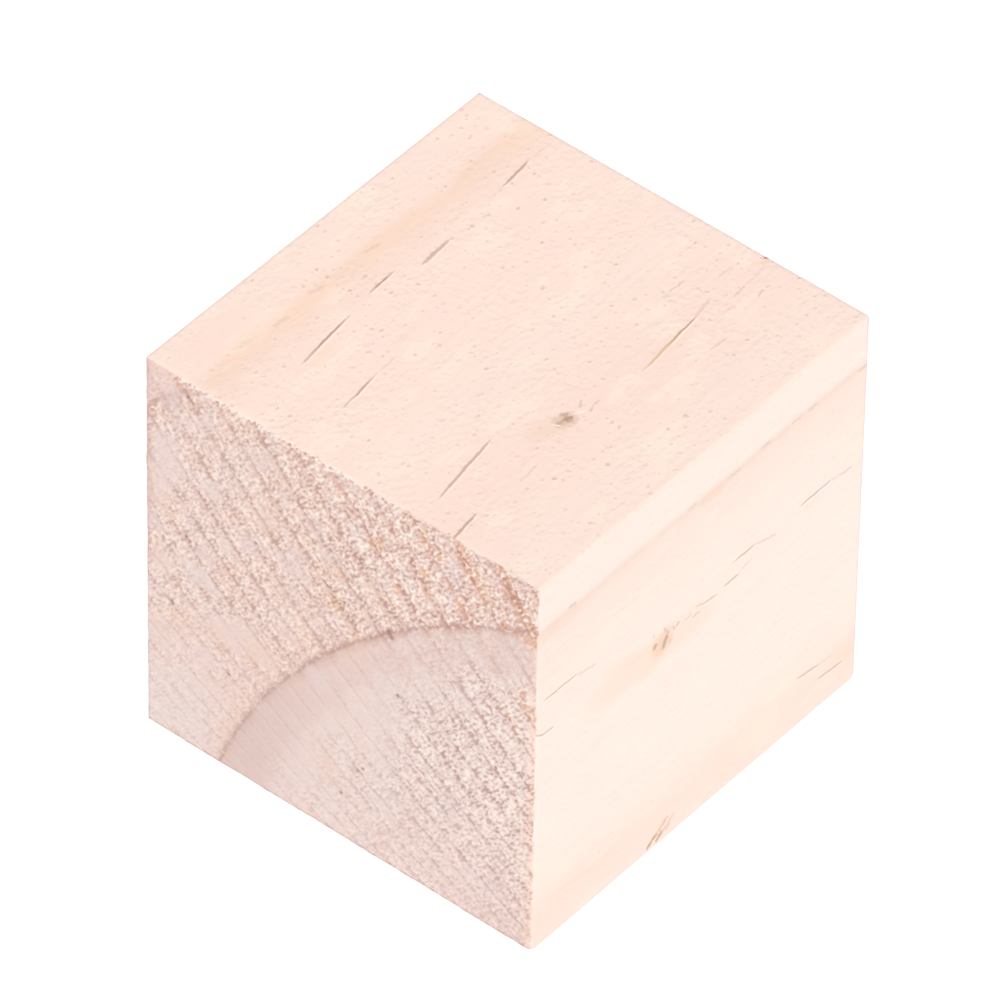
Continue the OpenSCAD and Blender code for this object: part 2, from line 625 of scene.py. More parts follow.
FIBRES: dict[Face, tuple[Stroke, ...]] = {
    Face.TOP: (
        Stroke((12.3, -8.8), (14.9, -8.8), 0.14, 0.3, Shade.ASH),
        Stroke((9.8, -8.56), (8.2, -8.4), 0.14, 0.3, Shade.ASH),
        Stroke((8.3, 7.3), (10.4, 6.9), 0.22, 0.5, Shade.ASH),
        Stroke((8.9, 4.74), (10.5, 4.86), 0.15, 0.7, Shade.ASH),
        Stroke((8.3, 4.9), (8.9, 4.8), 0.3, 0.4, Shade.ASH),
        Stroke((11.2, 7.92), (12.6, 7.76), 0.15, 0.7, Shade.ASH),
        Stroke((12.2, 7.8), (14.8, 7.6), 0.14, 0.3, Shade.ASH),
        Stroke((11.7, 6.1), (13.1, 6.24), 0.12, 0.6, Shade.ASH),
        Stroke((12.1, 9.0), (12.9, 8.8), 0.2, 0.7, Shade.ASH),
        Stroke((6.4, 9.76), (8.3, 9.82), 0.16, 0.5, Shade.ASH),
        Stroke((-5.4, -3.9), (-7.4, -3.74), 0.16, 0.4, Shade.ASH),
        Stroke((-7.2, 8.25), (-9.2, 8.44), 0.15, 0.5, Shade.ASH),
        Stroke((-4.3, 7.0), (-2.5, 7.3), 0.9, 0.55, Shade.BARK),
        Stroke((-3.55, 7.05), (-2.75, 7.25), 0.42, 0.65, Shade.KNOT),
        Stroke((-3.3, 6.65), (-2.75, 6.85), 0.3, 0.4, Shade.KNOT),
        Stroke((-3.95, 6.95), (-3.5, 7.1), 0.3, 0.35, Shade.KNOT),
        # Painted highlights at the knot
        Stroke((-2.7, 7.1), (-1.9, 7.5), 0.12, 0.7, Shade.PAINTED_HIGHLIGHT),
        Stroke((-4.3, 6.7), (-3.8, 7.4), 0.12, 0.7, Shade.PAINTED_HIGHLIGHT),
        Stroke((-7.0, -10.8), (-8.6, -11.0), 0.3, 0.3, Shade.FLECK_AND_PAINTED_SHADE),
        Stroke((-3.6, -10.9), (-5.2, -11.3), 0.3, 0.3, Shade.FLECK_AND_PAINTED_SHADE),
        Stroke((1.3, -10.8), (-0.3, -11.1), 0.3, 0.3, Shade.FLECK_AND_PAINTED_SHADE),
        Stroke((-9.8, -11.2), (-11.4, -11.4), 0.35, 0.2, Shade.FLECK_AND_PAINTED_SHADE),
        Stroke((-2.1, 7.1), (-1.4, 6.7), 0.15, 0.8, Shade.ASH),
        Stroke((-1.9, 7.75), (-1.3, 7.5), 0.15, 0.8, Shade.ASH),
        Stroke((-1.4, 7.55), (-0.7, 7.5), 0.15, 0.7, Shade.ASH),
        Stroke((14.9, 7.15), (15.25, 7.35), 0.22, 0.9, Shade.CANAL),
    ),
    Face.RIGHT: (
        Stroke((12.0, 18.8), (14.4, 18.4), 0.2, 0.7, Shade.ASH),
        Stroke((4.8, 18.75), (7.2, 18.1), 0.2, 0.6, Shade.ASH),
        Stroke((3.3, 17.5), (4.8, 17.9), 0.2, 0.5, Shade.ASH),
        Stroke((-1.0, 17.0), (0.0, 17.05), 0.2, 0.8, Shade.ASH),
        Stroke((-1.6, 17.3), (-0.9, 17.5), 0.16, 0.8, Shade.ASH),
        Stroke((-0.6, 17.7), (0.1, 17.6), 0.16, 0.6, Shade.ASH),
        Stroke((11.4, 3.8), (13.2, 3.6), 0.2, 0.5, Shade.ASH),
        Stroke((-11.6, 20.3), (-9.6, 19.9), 0.18, 0.6, Shade.ASH),
        Stroke((-4.42, 16.95), (-4.08, 17.42), 0.36, 0.5, Shade.KNOT),
        Stroke((-3.52, 16.4), (-3.2, 17.5), 0.34, 0.5, Shade.KNOT),
        Stroke((-2.9, 16.9), (-2.86, 16.25), 0.2, 0.5, Shade.ASH),
        Stroke((-3.5, 18.15), (-3.05, 17.4), 0.24, 0.8, Shade.ASH),
        Stroke((-2.75, 17.75), (-2.4, 17.2), 0.24, 0.7, Shade.ASH),
        Stroke((-2.4, 17.5), (-2.05, 17.6), 0.24, 0.45),
        Stroke((-4.5, 18.1), (-4.3, 18.15), 0.3, 0.7, Shade.ASH),
        Stroke((-4.6, 0.3), (-3.5, 1.2), 0.36, 0.8, Shade.OLIVE),
        Stroke((-3.9, 0.8), (-2.4, 1.95), 0.34, 0.8, Shade.BARK),
        Stroke((-3.8, 0.35), (-3.0, 0.95), 0.36, 0.75, Shade.OLIVE),
        Stroke((-3.3, 0.6), (-1.8, 1.7), 0.28, 0.7, Shade.ASH),
        Stroke((-2.9, 0.6), (-2.2, 1.1), 0.16, 0.8, Shade.BARK),
        Stroke((1.9, 26.2), (3.4, 26.2), 0.3, 0.4, Shade.ASH),
        Stroke((5.0, 26.4), (6.2, 26.4), 0.3, 0.6, Shade.ASH),
        Stroke((7.9, 26.35), (9.1, 26.35), 0.25, 0.4, Shade.ASH),
        Stroke((9.4, 26.3), (10.7, 26.3), 0.25, 0.5, Shade.ASH),
        Stroke((-1.6, 26.4), (-0.6, 26.3), 0.25, 0.5, Shade.ASH),
        Stroke((14.2, 26.1), (15.3, 26.0), 0.3, 0.6, Shade.ASH),
        Stroke((-12.6, 26.5), (-11.6, 26.4), 0.3, 0.6, Shade.ASH),
    ),
}

DOTS = (
    ResinDot(3.8, 19.4, 0.26), ResinDot(4.0, 19.1, 0.24), ResinDot(-8.6, 7.9, 0.15),
    ResinDot(4.5, 14.6, 0.15), ResinDot(-6.5, 20.1), ResinDot(-11.7, 28.7), ResinDot(1.9, 6.8),
    ResinDot(1.5, 6.4, 0.11), ResinDot(0.2, 3.7), ResinDot(6.9, 12.5, 0.11), ResinDot(12.0, 13.5),
    ResinDot(-13.0, 11.1, 0.17), ResinDot(-11.9, 17.2, 0.16), ResinDot(-11.6, 17.0, 0.14),
)

TAN_SPOTS = (
    ResinDot(-0.5, 19.1, 0.8), ResinDot(2.6, 25.8, 0.6), ResinDot(6.4, 25.9, 0.6),
    ResinDot(4.3, 23.3, 0.5), ResinDot(6.6, 24.4, 0.6), ResinDot(0.0, 21.8, 0.6),
    ResinDot(7.4, 28.0, 0.6), ResinDot(9.2, 24.9, 0.5),
)

BACK_DOTS = (
    ResinDot(-4.2, 12.1, 0.16), ResinDot(-9.7, 22.3, 0.15), ResinDot(1.8, 25.2),
    ResinDot(8.8, 5.9, 0.15), ResinDot(11.2, 21.4), ResinDot(-12.3, 5.1),
)

STREAKS = (
    TornStreak((8.5, 30.1), (10.4, 27.2), 0.72, 1.0),
    TornStreak((10.4, 27.2), (12.5, 25.3), 0.55, 0.9),
    TornStreak((11.7, 30.1), (13.5, 27.7), 0.85, 0.88),
    TornStreak((13.5, 27.7), (14.7, 26.0), 0.8, 0.9),
    TornStreak((6.2, 28.6), (7.6, 27.0), 0.5, 0.6),
    TornStreak((8.0, 26.3), (9.6, 24.4), 0.4, 0.6),
    TornStreak((2.8, 26.0), (4.2, 24.2), 0.35, 0.45),
    TornStreak((13.7, 20.9), (14.6, 19.1), 0.5, 0.8),
    TornStreak((12.7, 18.9), (13.5, 17.3), 0.4, 0.75),
    TornStreak((13.6, 25.6), (14.7, 25.2), 0.6, 0.5),
    TornStreak((-0.9, 29.7), (0.4, 27.7), 0.35, 0.4),
    TornStreak((3.2, 29.1), (4.4, 27.5), 0.35, 0.5),
    TornStreak((-12.9, 30.0), (-12.3, 29.0), 0.25, 0.75),
    TornStreak((-14.9, 26.6), (-14.3, 25.8), 0.4, 0.6),
)


# ---------------------------------------------------------------- the finishes


@dataclass(frozen=True)
class Spot:
    """The point that a material is read at, in millimetres: as one place and as its parts."""

    place: Value
    x: Value
    y: Value
    z: Value


@dataclass(frozen=True)
class Finish:
    """What the finishes of all six faces share: millimetres, and rings that run right through."""

    face: Face
    size: BlockSize
    rings: GrowthRings

    def start(self, kind: str) -> tuple[bpy.types.Material, Spot]:
        """Starts the face's material.

        Args:
            kind: how the face was cut, for the name.

        Returns:
            The material, and the point that it is read at.
        """
        material = bpy.data.materials.new(f"{kind}_{self.face.name.lower()}")
        material.use_nodes = True
        sheet = Sheet(material.node_tree)
        place = sheet.vectors("MULTIPLY", sheet.add("TexCoord", {}, "Object"), (1 / MM,) * 3)
        return material, Spot(place, *place.parts())

    def ring_radius(self, spot: Spot, waver: float) -> Value:
        """Distance from the pith in millimetres, with the slow waver that real rings have."""
        drift = spot.place.noise((1.6, 4.0, 1.6), roughness=0.6)
        return self.rings.radius(spot.x, spot.z) + (drift - 0.5) * waver

    def end(self, colour: Value, height: Value, roughness: float) -> None:
        """Ends a material with a matt shader.

        Args:
            colour: the wood's colour.
            height: the height of its fine relief, in millimetres.
            roughness: how matt it is.
        """
        sheet = colour.sheet
        bump = sheet.add("Bump", {"Strength": 1.0, "Distance": MM, "Height": height})
        fed = {"Base Color": colour, "Normal": bump, "Roughness": roughness, "Specular IOR Level": 0.2}
        sheet.node("OutputMaterial", {0: sheet.add("BsdfPrincipled", fed)})


@dataclass(frozen=True)
class PlanedFinish(Finish):
    """A planed long-grain face.

    warmth, flecks, dent_shading and clouds are shares from 0 to 1. waver is how far the rings stray,
    and lip the way from a pit to its painted highlight, along and across the grain, in millimetres.
    """

    warmth: float = 0.0
    flecks: float = 0.5
    dent_shading: float = 0.18
    clouds: float = 0.5
    waver: float = 0.6
    lip: Pair = (-0.12, 0.1)
    pit_sizes: tuple[PitSize, ...] = (
        PitSize((1.5, 1.2), 0.14, 0.7, 0.7),
        PitSize((0.8, 0.65), 0.2, 0.8, 0.45),
    )
    pit_depth: float = 0.012
    roughness: float = 0.7

    def material(self) -> bpy.types.Material:
        """Builds the face's material."""
        material, spot = self.start("planed")
        colour = self.ring_radius(spot, self.waver).ramp(LONG_GRAIN_RINGS)
        colour = colour.tinted(self.warmth, Shade.AMBER)
        # Slow clouds of pink and cream, longer along the grain than across it
        clouds = spot.place.noise((1.8, 4.0, 1.8), roughness=0.6, shift=4.0)
        colour = colour.tinted(clouds.mapped(0.52, 0.66, 0.0, self.clouds), Shade.PINK)
        colour = colour.tinted(clouds.mapped(0.46, 0.34, 0.0, self.clouds), Shade.IVORY)
        # Faint fibres along the grain
        fibres = spot.place.noise((0.3, 6.0, 0.3), roughness=0.6, shift=10.0)
        colour = colour.tinted(fibres.mapped(0.45, 0.75, 0.0, 0.15), Shade.DULL)
        # The eased long edges are a little darker: painted shade that tones down the highlight on
        # their rounding
        diagonal = abs(spot.x) + abs(spot.z - self.size.height / 2)
        edge = (self.size.width + self.size.height) / 2
        colour = colour.tinted(diagonal.mapped(edge - 0.4, edge - 0.15, 0.0, 0.3), Shade.AMBER)
        flat = colour.sheet.vector(spot.y, spot.z if self.face.axis == 0 else spot.x)
        # Painted shade and highlight on shallow dents
        colour = self.add_dent_shading(colour, flat)
        colour, pits = self.add_flecks(colour, spot.place, flat)
        colour = self.add_strokes(colour, spot.place, flat)
        self.end(colour, pits * -self.pit_depth, self.roughness)
        return material

    def beside(self, flat: Value) -> Value:
        """The place whose painted highlight falls on another place."""
        return flat.sheet.vectors("SUBTRACT", flat, (*self.lip, 0.0))

    def add_dent_shading(self, colour: Value, flat: Value) -> Value:
        """Adds the mottling of shallow dents: painted shade on one side, painted highlight on the
        other.
        """
        cell = (0.5, 0.42, 1.0)
        slope = flat.noise(cell, 1.0, shift=3.0) - self.beside(flat).noise(cell, 1.0, shift=3.0)
        crowds = flat.noise((3.5, 2.5, 1.0), roughness=0.6, shift=14.0)
        strength = crowds.mapped(0.36, 0.64, 0.1 * self.dent_shading, self.dent_shading)
        # Painted shade where a dent's slope faces away from the light, painted highlight where it
        # faces it
        colour = colour.tinted(slope.mapped(0.0, 0.2, smooth=False) * strength, Shade.FLECK_AND_PAINTED_SHADE)
        return colour.tinted(slope.mapped(0.0, -0.2, smooth=False) * strength, Shade.PAINTED_HIGHLIGHT)

    def add_flecks(self, colour: Value, place: Value, flat: Value) -> tuple[Value, Value]:
        """Adds the tiny pits that the planer left: partly painted shade, with a painted highlight on
        the near rim.

        Returns:
            The colour, and the share of each point that is pit.
        """
        crowds = place.noise((3.0, 4.0, 3.0), roughness=0.6, shift=13.0)
        bent = flat.warped(place, 0.3, 0.25)
        lit = self.beside(bent)
        pits = []
        for size in self.pit_sizes:
            most = size.strength * self.flecks
            strong = crowds.mapped(0.35, 0.65, 0.35 * most, most)
            # A painted highlight on each pit's near rim
            rim = lit.dots(size.cell, size.reach, size.share) * strong * 0.6
            colour = colour.tinted(rim, Shade.PAINTED_HIGHLIGHT)
            # The pit itself, dark: partly painted shade
            pits.append(bent.dots(size.cell, size.reach, size.share) * strong)
            colour = colour.tinted(pits[-1], Shade.FLECK_AND_PAINTED_SHADE)
        return colour, reduce(Value.larger, pits)

    def add_strokes(self, colour: Value, place: Value, flat: Value) -> Value:
        """Adds this face's own stains, canals with a painted highlight beside each, and fibres, the
        fibres with ragged outlines.
        """
        straight = flat.warped(place, 0.9, 0.14)
        ragged = flat.warped(place, 0.35, 0.32)
        patches = place.noise((0.25, 0.3, 0.25), roughness=0.6, shift=6.0)
        even_rim = patches.mapped(0.35, 0.65, 0.65, 1.2)
        torn_rim = patches.mapped(0.35, 0.65, 0.5, 1.4)
        lit_side = -0.1 if self.face.axis == 0 else 0.1
        for stain in STAINS.get(self.face, ()):
            colour = stain.drawn(colour, straight, even_rim)
        # Each canal gets a painted highlight along its lit side, then its dark core
        for canal in CANALS.get(self.face, ()):
            lit = replace(canal, strength=0.5, shade=Shade.PAINTED_HIGHLIGHT)
            colour = lit.drawn(colour, straight, even_rim, 0.3, lit_side)
            colour = canal.drawn(colour, straight, even_rim, 0.05)
        for fibre in FIBRES.get(self.face, ()):
            colour = fibre.drawn(colour, ragged, torn_rim)
        return colour


@dataclass(frozen=True)
class SawMarks:
    """The blade's marks on a sawn end, as a material reads them.

    depth goes from 0 to 1, crest is the swell between deep marks, from -0.5 to 0.5, and place is
    the place across and along the marks.
    """

    depth: Value
    crest: Value
    place: Value


@dataclass(frozen=True)
class SawnFinish(Finish):
    """A sawn end: grain seen end on, crossed by saw marks and roughened by torn fibres."""

    saw: SawCut
    streaks: tuple[TornStreak, ...] = ()
    dots: tuple[ResinDot, ...] = ()
    tan_spots: tuple[ResinDot, ...] = ()
    waver: float = 0.4
    curl_cell: Triple = (0.35, 9.0, 0.19)
    curl_lean_deg: float = 50.0
    curl_height: float = 0.12
    mark_depth: float = 0.02
    roughness: float = 0.9

    def material(self) -> bpy.types.Material:
        """Builds the face's material, which reads how torn the mesh is."""
        material, spot = self.start("sawn")
        sheet, x, z = spot.place.sheet, spot.x, spot.z
        radius = self.ring_radius(spot, self.waver)
        beyond = radius - self.rings.main_radius
        hue = spot.place.noise((2.4, 9.0, 2.4), detail=1.0, shift=11.0)
        colour = self.clean_wood(spot, radius.ramp(END_GRAIN_RINGS), beyond, hue)
        colour = self.add_dots(colour, spot, self.tan_spots, Shade.TAN)
        # Fewer torn fibres in the lilac patches
        calm = hue.mapped(0.52, 0.64) * x.mapped(4.0, -6.0, 0.2, 0.6)
        torn = sheet.add("Attribute", {}, "Fac", attribute_name="torn") * (1 - calm)
        torn = torn * beyond.mapped(0.1, -0.9, 1.0, 0.85)
        # Torn fibres: pale curls with brown gaps between them, darkest along the saw marks
        curl = self.curls(spot)
        marks = self.saw_marks(spot, curl, torn)
        fibre = curl - 0.17 * marks.depth + 0.05 * marks.crest
        # The dark gaps, saw marks and troughs are partly painted shade in the hollows of the torn
        # relief
        hollow_shade = fibre.mapped(0.48, 0.27, smooth=False) * torn
        scratch = marks.depth * torn.mapped(0.1, 0.6, 0.25, 0.88) * curl.mapped(0.6, 0.42, 0.25, 1.0)
        trough_shade = marks.crest.mapped(0.4, -0.5) * torn.mapped(0.0, 0.5, 0.02, 0.055)
        gap_colour = sheet.blend((x * 0.5 + z).mapped(18.0, 32.0), Shade.GAP, Shade.TOASTED)
        colour = colour.tinted(trough_shade, gap_colour).tinted(hollow_shade.larger(scratch), gap_colour)
        colour = self.add_streaks(colour, spot, marks.place, curl)
        # The dark line of the main ring's latewood
        line = abs(beyond - 0.02).mapped(0.18, 0.03) * curl.mapped(0.75, 0.4, 0.15, 0.55)
        colour = colour.tinted(line, Shade.END_LINE)
        # A ragged painted highlight along the top arris
        top, left = self.size.height, -self.size.width / 2
        arris_highlight = (z + (curl - 0.5) * 1.8).mapped(top - 0.4, top - 0.1)
        arris_highlight = arris_highlight * x.mapped(left + 1.6, left + 3.0) * x.mapped(7.0, 0.0, 0.1, 0.8)
        # Pale curl crests, partly painted highlight, and the arris highlight
        curls = fibre.mapped(0.54, 0.7, smooth=False) * torn
        colour = colour.tinted(curls.larger(arris_highlight) * 0.9, Shade.PALE_FIBRE_AND_HIGHLIGHT)
        colour = self.add_dots(colour, spot, self.dots, Shade.PIT)
        height = curl * self.curl_height * torn - marks.depth * self.mark_depth
        self.end(colour, height, self.roughness)
        return material

    def clean_wood(self, spot: Spot, colour: Value, beyond: Value, hue: Value) -> Value:
        """Tints the wood as it would look without torn fibres.

        Args:
            spot: the point that is read.
            colour: the colour of its year ring.
            beyond: how far it lies outside the main ring, in millimetres.
            hue: noise that makes patches of lilac and peach.

        Returns:
            The tinted colour.
        """
        x, z = spot.x, spot.z
        right = self.size.width / 2
        patches = spot.place.noise((2.2, 9.0, 2.2), roughness=0.6, shift=5.0)
        tints = (
            # Paler wood outside the main ring, towards the left
            (
                x.mapped(-2.0, -12.0) * beyond.mapped(17.2, 16.2) * beyond.mapped(0.0, 1.6, 0.0, 0.7),
                Shade.END_PALE,
            ),
            # Patches of pink, cream, lilac and peach
            (patches.mapped(0.5, 0.68, 0.0, 0.45), Shade.END_PINK),
            (patches.mapped(0.48, 0.32, 0.0, 0.5), Shade.END_CREAM),
            (hue.mapped(0.5, 0.75, 0.0, 0.7), Shade.END_LILAC),
            (hue.mapped(0.5, 0.25) * beyond.mapped(-0.9, 0.6, 0.2, 0.7), Shade.END_PEACH),
            # Clean peach wood at the right, well inside the main ring
            (
                x.mapped(8.0, 13.0, 0.0, 0.8) * beyond.mapped(-3.4, -5.4) * z.mapped(4.0, 7.0),
                Shade.END_CLEAR,
            ),
            # Darker wood just inside the main ring
            (
                beyond.mapped(-5.9, -1.4) * beyond.mapped(0.6, 0.1) * x.mapped(1.0, -7.0, 0.0, 0.65),
                Shade.END_DUSK,
            ),
            # The right, left and bottom arrises, and the low left corner; the dark line along the
            # bottom arris is painted shade
            (x.mapped(right - 0.9, right - 0.3) * z.mapped(24.0, 19.0, 0.3, 0.8), Shade.END_GOLD),
            (x.mapped(0.8 - right, 0.2 - right) * z.mapped(12.0, 20.0, 0.0, 0.7), Shade.END_RUST),
            (x.mapped(-8.0, -11.5) * z.mapped(8.0, 3.0, 0.0, 0.8), Shade.END_ASH),
            (z.mapped(0.35, 0.1, 0.0, 0.6), Shade.END_BROWN),
        )
        for share, shade in tints:
            colour = colour.tinted(share, shade)
        return colour

    def curls(self, spot: Spot) -> Value:
        """Noise for the torn fibres, whose curls lean with the saw marks."""
        lean = math.radians(self.curl_lean_deg)
        up = spot.x * math.cos(lean) + spot.z * math.sin(lean)
        aside = spot.z * math.cos(lean) - spot.x * math.sin(lean)
        turned = spot.place.sheet.vector(up, spot.y, aside).warped(spot.place, 0.5, 0.3)
        return (turned.noise(self.curl_cell, detail=0.0) - 0.5) * 0.77 + 0.5

    def saw_marks(self, spot: Spot, curl: Value, torn: Value) -> SawMarks:
        """The blade's marks: a deep one at every turn, with lighter ones between."""
        saw, sheet = self.saw, curl.sheet
        across = saw.across(spot.x, spot.z)
        angle = sheet.math("ARCSINE", saw.drop(spot.x, spot.z) * (1 / saw.blade_radius))
        place = sheet.vector(across, spot.y, angle * saw.blade_radius)
        waver = place.noise((7.0, 9.0, 4.0), roughness=0.6, shift=7.0)
        jitter = place.noise((1.6, 9.0, 1.1), detail=1.0, shift=17.0)
        path = across - saw.deep_mark + (waver - 0.5) * 0.8 + (curl + jitter - 1.0) * 0.7
        from_deep = sheet.math("PINGPONG", path, saw.feed_per_turn / 2)
        from_light = sheet.math("PINGPONG", path, saw.feed_per_tooth / 2)
        strong = place.noise((2.4, 9.0, 2.2), roughness=0.7, shift=8.0).mapped(0.38, 0.6, 0.25, 1.0)
        weak = place.noise((0.9, 9.0, 1.6), roughness=0.7, shift=9.0).mapped(0.44, 0.62, 0.0, 0.78)
        reach = (spot.x * 0.5 + spot.z).mapped(2.0, 26.0, 0.75, 0.92)
        deep = from_deep.mapped(0.38, 0.04) * strong * reach
        light = from_light.mapped(0.15, 0.03) * weak * torn.mapped(0.1, 0.5, 0.15, 1.0)
        return SawMarks(deep.larger(light), from_deep.mapped(0.3, 1.0, -0.5, 0.5), place)

    def add_dots(self, colour: Value, spot: Spot, dots: tuple[ResinDot, ...], shade: Shade) -> Value:
        """Adds round marks: the dark dots of resin canals cut across, or soft tan spots."""
        if not dots:
            return colour
        flat = colour.sheet.vector(spot.x, spot.z)
        return colour.tinted(reduce(Value.larger, [dot.near(flat) for dot in dots]), shade)

    def add_streaks(self, colour: Value, spot: Spot, saw_place: Value, curl: Value) -> Value:
        """Adds the brown streaks, each a short stain with broken darker strands in it."""
        if not self.streaks:
            return colour
        sheet = colour.sheet
        bent = sheet.vector(spot.x, spot.z).warped(sheet.vector(spot.x, 0.0, spot.z), 0.8, 1.0)
        x, z, _ = bent.parts()
        near = reduce(Value.larger, [streak.near(x, z) for streak in self.streaks])
        strands = saw_place.noise((0.42, 9.0, 1.3), roughness=0.6, shift=6.0)
        ragged = near + (strands - 0.5) * 1.4 - (curl - 0.5) * 1.6
        ragged = ragged * near.mapped(0.0, 0.2)
        colour = colour.tinted(ragged.mapped(0.12, 0.8, 0.0, 0.78), Shade.SCORCH)
        return colour.tinted(ragged.mapped(0.72, 1.2, 0.0, 0.52), Shade.STRAND)


# ---------------------------------------------------------------- the block


@dataclass
class PineBlock:
    """The visible block: a modelled solid with real saw marks, torn fibres and eased edges."""

    size: BlockSize
    rings: GrowthRings
    saw: SawCut
    planed_edge_radius: float = 0.22
    sawn_edge_radius: float = 0.16
    back_lean: float = 0.1
    back_bruise: float = 0.5
    front_bruise: float = 0.45
    fibre_depth: float = 0.1
    scratch_depth: float = 0.06
    wave_depth: float = 0.02
    cuts_across: tuple[int, int] = (17, 9)
    cuts_along: int = 45
    crowding_across: float = 0.25
    crowding_along: float = 0.85
    uv_margin: float = 0.01

    def build(self) -> bpy.types.Object:
        """Models the block and dresses it.

        Returns:
            The finished piece.
        """
        block = self.gridded_cube()
        self.shape_surface(block)
        self.lay_out_uv(block)
        self.dress(block)
        bpy.ops.object.shade_smooth()
        return block

    def gridded_cube(self) -> bpy.types.Object:
        """Adds the block and cuts its faces into a grid: close across the grain, wider along it."""
        bpy.ops.object.select_all(action="DESELECT")
        bpy.ops.mesh.primitive_cube_add(size=1, location=(0, 0, self.size.height / 2 * MM))
        block = bpy.context.active_object
        block.name = "pine_block"
        block.scale = (self.size.width * MM, self.size.length * MM, self.size.height * MM)
        bpy.ops.object.transform_apply(location=True, rotation=True, scale=True)
        bpy.ops.object.mode_set(mode="EDIT")
        bpy.ops.mesh.select_mode(type="EDGE")
        for cuts in self.cuts_across:
            self.select_edges(block, lambda edge: not self.runs_along_grain(edge))
            bpy.ops.mesh.subdivide(number_cuts=cuts)
        self.select_edges(block, self.runs_along_grain)
        bpy.ops.mesh.subdivide(number_cuts=self.cuts_along)
        bpy.ops.object.mode_set(mode="OBJECT")
        return block

    @staticmethod
    def runs_along_grain(edge: bmesh.types.BMEdge) -> bool:
        """Whether an edge is parallel to the grain."""
        reach = edge.verts[1].co - edge.verts[0].co
        return abs(reach.y) > 0.9 * reach.length

    @staticmethod
    def select_edges(
        block: bpy.types.Object, wanted: Callable[[bmesh.types.BMEdge], bool]
    ) -> None:
        """Selects just the edges that pass a test."""
        bpy.ops.mesh.select_all(action="DESELECT")
        mesh = bmesh.from_edit_mesh(block.data)
        for edge in mesh.edges:
            edge.select_set(wanted(edge))
        bmesh.update_edit_mesh(block.data)

    def shape_surface(self, block: bpy.types.Object) -> None:
        """Eases the edges, then moves every vertex inwards by the depth of the wood's relief."""
        mesh = block.data
        points = self.read(mesh.vertices, "co", 3).reshape(-1, 3) / MM
        points = self.ease_edges(self.crowd(points))
        mesh.vertices.foreach_set("co", (points * MM).ravel())
        mesh.update()
        normals = self.read(mesh.vertices, "normal", 3).reshape(-1, 3)
        end_share = normals[:, 1] ** 2
        torn = self.torn_share(points)
        depth = end_share * self.end_depth(points, torn) + (1 - end_share) * self.long_depth(points)
        points = self.knock_corners(points - normals * depth[:, None])
        mesh.vertices.foreach_set("co", (points * MM).ravel())
        attribute = mesh.attributes.new("torn", "FLOAT", "POINT")
        attribute.data.foreach_set("value", (torn * end_share).astype(np.float32))
        mesh.update()

    @staticmethod
    def read(items: bpy.types.bpy_prop_collection, name: str, width: int = 1) -> np.ndarray:
        """Reads one property of many items into one flat array."""
        values = np.empty(len(items) * width)
        items.foreach_get(name, values)
        return values

    def crowd(self, points: np.ndarray) -> np.ndarray:
        """Slides the rows and columns of the grid towards the edges, where the detail is."""
        pulls = np.array([self.crowding_across, self.crowding_along, self.crowding_across])
        share = (points - self.size.middle) / self.size.halves
        crowded = pulls * np.sin(share * math.pi / 2) + (1 - pulls) * share
        return self.size.middle + crowded * self.size.halves

    def ease_edges(self, points: np.ndarray) -> np.ndarray:
        """Rounds the edges: wider along the grain, tighter and ragged round the sawn ends."""
        middle, halves = self.size.middle, self.size.halves
        from_end = halves[1] - np.abs(points[:, 1])
        fine, coarse = SoftNoise((0.9, 0.9, 0.9), 51)(points), SoftNoise((4.0, 4.0, 4.0), 52)(points)
        tight = self.sawn_edge_radius * (1 + 0.35 * fine + 0.25 * coarse)
        wide = self.planed_edge_radius * (1 + 0.15 * SoftNoise((2.0, 3.0, 2.0), 53)(points))
        radius = (tight + (wide - tight) * ease(from_end, 0.1, 0.7))[:, None]
        core = np.clip(points - middle, radius - halves, halves - radius)
        offset = points - middle - core
        length = np.linalg.norm(offset, axis=1, keepdims=True)
        return middle + core + offset / length * radius

    def torn_share(self, points: np.ndarray) -> np.ndarray:
        """Where the saw tore the soft earlywood instead of cutting it clean, from 0 to 1."""
        x, z = points[:, 0], points[:, 2]
        inside = self.rings.main_radius - self.rings.radius(x, z)
        patches = SoftNoise((2.4, 2.4, 2.4), 11)(points)
        # Outside the main ring, more of it towards the top and the right
        outer = 0.25 + 0.4 * ease(z, 3.0, 16.0) + 0.35 * ease(x, -11.0, 9.0) * ease(z, 14.0, 27.0)
        # Inside it, little at first, and most from 3 mm in
        inner = 0.08 + 0.25 * ease(x, 0.0, 8.0)
        torn_from = inside + 2.0 * patches + 1.7 * ease(x, 6.0, 12.0)
        inner = inner + (0.9 - inner) * ease(torn_from, 3.0, 8.0)
        inner = inner * (0.5 + 0.5 * ease(z + 0.4 * x, 4.0, 14.0))
        share = outer + (inner - outer) * ease(inside, -0.45, 0.3)
        # Clean patches, and a clean top left corner
        bare = ease(-SoftNoise((2.8, 2.8, 2.8), 14)(points), 0.25, 0.7) * ease(x, 8.0, 2.0)
        share = share * (1 + 0.2 * patches) * (1 - 0.7 * bare)
        share = share * (1 - 0.6 * ease(z - x, 40.5, 42.5))
        return np.clip(share, 0, 1)

